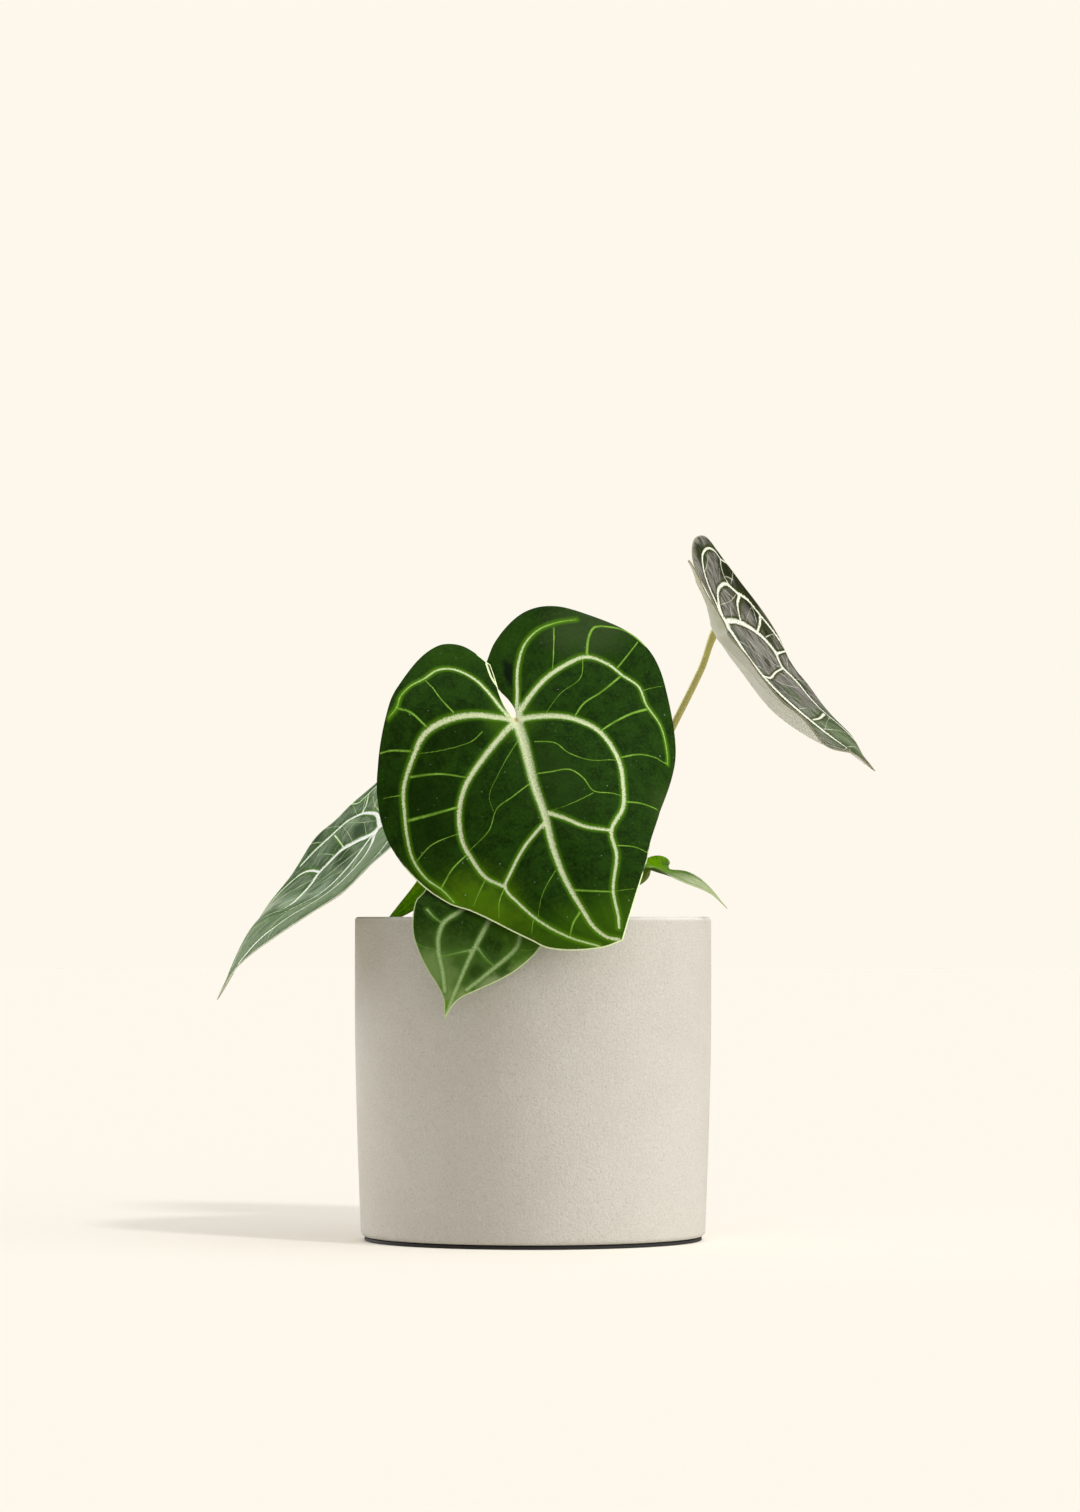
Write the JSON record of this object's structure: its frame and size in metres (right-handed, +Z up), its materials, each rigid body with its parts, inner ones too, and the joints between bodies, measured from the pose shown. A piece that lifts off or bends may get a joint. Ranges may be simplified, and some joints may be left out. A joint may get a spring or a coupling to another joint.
{
  "type": "potted velvet-leaf anthurium",
  "caption": "Young aroid with silver-veined heart leaves on slender petioles, in a plain round stoneware pot on a thin rubber pad.",
  "frame": {"origin": "on the standing surface under the centre of the pot", "axes": "+Z up; -Y towards the front, where the largest leaf shows its upper face; +X to the right seen from the front"},
  "size_m": [0.2786, 0.1677, 0.2986],
  "materials": {
    "stoneware": "matt, speckled and fine-grained, unglazed",
    "rubber": "matt black",
    "mix": "chunky bark and perlite potting mix, dry and rough",
    "sheath": "papery olive-brown sheaths, satin",
    "petiole": "olive green stalk, satin",
    "deep_leaf": "velvety deep green with raised silver-green veins",
    "silver_leaf": "velvety grey-green sheen over dark green with pale veins",
    "fresh_leaf": "fresh translucent green, satin"
  },
  "bodies": {
    "root": {"pot": "stoneware", "base_pad": "rubber", "soil": "mix", "crown": "sheath", "leaf_front_blade": "deep_leaf", "leaf_front_petiole": "petiole", "leaf_left_blade": "silver_leaf", "leaf_left_petiole": "petiole", "leaf_tall_blade": "silver_leaf", "leaf_tall_petiole": "petiole", "leaf_low_blade": "deep_leaf", "leaf_low_petiole": "petiole", "leaf_new_blade": "fresh_leaf", "leaf_new_petiole": "petiole", "leaf_back_blade": "fresh_leaf", "leaf_back_petiole": "petiole"}
  },
  "joints": []
}
